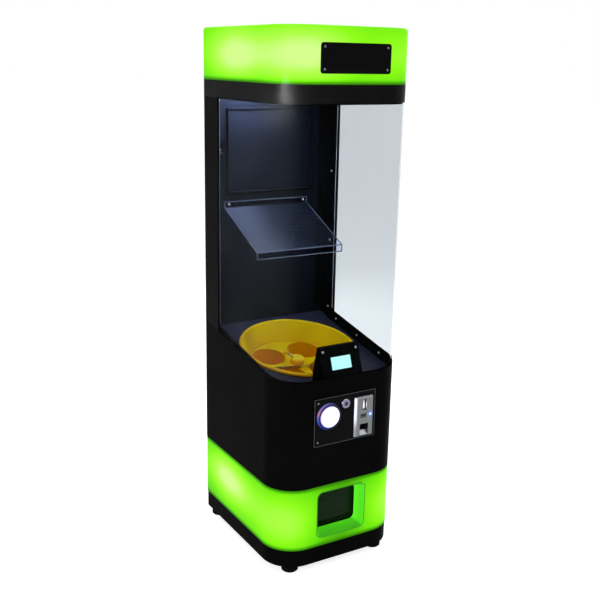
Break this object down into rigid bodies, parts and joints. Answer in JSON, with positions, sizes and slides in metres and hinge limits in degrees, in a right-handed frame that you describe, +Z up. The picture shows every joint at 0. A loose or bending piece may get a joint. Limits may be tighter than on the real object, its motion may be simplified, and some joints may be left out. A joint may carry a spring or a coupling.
{
  "type": "capsule toy vendor",
  "caption": "Tall rounded cabinet with lit bands, a wrap-round window, a tilted hopper with a motor-driven capsule wheel, a coin and button panel and a prize door.",
  "frame": {"origin": "on the floor, under the middle of the cabinet's footprint", "axes": "+Z up; the front with the button, the coin face and the prize door looks along -Y; +X is to the right of someone facing the front"},
  "size_m": [0.44, 0.5345, 1.608],
  "materials": {
    "black_steel": "satin",
    "white_steel": "satin",
    "green_acrylic": "lit from behind, translucent",
    "clear_acrylic": "clear polished",
    "smoked_acrylic": "smoked polished",
    "black_acrylic": "polished",
    "yellow_plastic": "moulded semi-gloss",
    "steel": "plain",
    "hinge_steel": "blackened",
    "chrome": "polished",
    "lock_metal": "satin",
    "motor_metal": "satin",
    "cast_zinc": "satin cast",
    "black_plastic": "moulded",
    "lamp_white": "lit from behind",
    "lamp_blue": "lit",
    "lamp_strip": "plain",
    "display_glass": "lit from behind",
    "circuit_board": "solder mask",
    "galvanised_steel": "galvanised",
    "rubber": "matte"
  },
  "bodies": {
    "cabinet": {"plinth": "black_steel", "body_floor": "black_steel", "body_shell": "black_steel", "left_post": "black_steel", "right_post": "black_steel", "window_clamps": "black_steel", "upper_band": "black_steel", "ceiling_plate": "black_steel", "back_panel": "black_steel", "deck_plate": "black_steel", "display_housing": "black_steel", "prize_bin": "black_steel", "drop_chute": "black_steel", "lower_frame": "white_steel", "lower_light_band": "green_acrylic", "prize_surround": "green_acrylic", "top_light_box": "green_acrylic", "window": "clear_acrylic", "ramp_shelf": "clear_acrylic", "sign_plate": "black_acrylic", "control_plate": "black_acrylic", "hopper_bowl": "yellow_plastic", "wheel_base_plate": "yellow_plastic", "face_screws": "steel", "stripper_bar": "steel", "motor_bracket": "steel", "prize_door_pin": "steel", "coin_box": "steel", "restock_hinges": "hinge_steel", "service_hinges": "hinge_steel", "key_barrel": "chrome", "gear_motor": "motor_metal", "coin_face": "cast_zinc", "coin_mech": "black_plastic", "power_inlet": "black_plastic", "button_switch": "black_plastic", "button_bezel": "black_plastic", "coin_led": "lamp_blue", "lower_led_strips": "lamp_strip", "top_led_strips": "lamp_strip", "ceiling_light": "lamp_strip", "lcd_screen": "display_glass", "control_board": "circuit_board", "power_supply": "galvanised_steel", "feet": "rubber"},
    "wheel": {"capsule_wheel": "yellow_plastic", "hub_cap": "yellow_plastic", "agitator_rod": "steel", "agitator_knob": "yellow_plastic", "wheel_shaft": "steel"},
    "start_button": {"button_dome": "lamp_white"},
    "reject_button": {"coin_reject_button": "cast_zinc"},
    "key": {"key_plug": "lock_metal"},
    "prize_flap": {"prize_door": "smoked_acrylic"},
    "restock_leaf": {"restock_door": "black_steel", "restock_lock": "chrome"},
    "restock_key": {"restock_lock_plug": "lock_metal"},
    "service_leaf": {"service_door": "black_steel", "service_lock": "chrome"},
    "service_key": {"service_lock_plug": "lock_metal"}
  },
  "joints": [
    {"name": "wheel_turn", "type": "hinge", "parent": "cabinet", "child": "wheel", "pos_m": [0, 0.021, 0.62689], "axis": [0, -0.1822, 0.9833], "continuous": true},
    {"name": "start_button_press", "type": "slide", "parent": "cabinet", "child": "start_button", "axis": [0, 1, 0], "range_m": [0, 0.004], "stiffness_N_per_m": 700, "springref_m": -0.003},
    {"name": "reject_button_press", "type": "slide", "parent": "cabinet", "child": "reject_button", "axis": [0, 1, 0], "range_m": [0, 0.003], "stiffness_N_per_m": 500, "springref_m": -0.002},
    {"name": "key_turn", "type": "hinge", "parent": "cabinet", "child": "key", "pos_m": [0, -0.254, 0.534], "axis": [0, 1, 0], "range_deg": [0, 90]},
    {"name": "prize_flap_swing", "type": "hinge", "parent": "cabinet", "child": "prize_flap", "pos_m": [0, -0.2028, 0.245], "axis": [1, 0, 0], "range_deg": [0, 60]},
    {"name": "restock_door_swing", "type": "hinge", "parent": "cabinet", "child": "restock_leaf", "pos_m": [0.188, 0.2565, 1.235], "axis": [0, 0, -1], "range_deg": [0, 110]},
    {"name": "restock_lock_turn", "type": "hinge", "parent": "restock_leaf", "child": "restock_key", "pos_m": [-0.158, 0.25, 1.235], "axis": [0, -1, 0], "range_deg": [0, 90]},
    {"name": "service_door_swing", "type": "hinge", "parent": "cabinet", "child": "service_leaf", "pos_m": [0.188, 0.2565, 0.43], "axis": [0, 0, -1], "range_deg": [0, 110]},
    {"name": "service_lock_turn", "type": "hinge", "parent": "service_leaf", "child": "service_key", "pos_m": [-0.158, 0.25, 0.43], "axis": [0, -1, 0], "range_deg": [0, 90]}
  ]
}
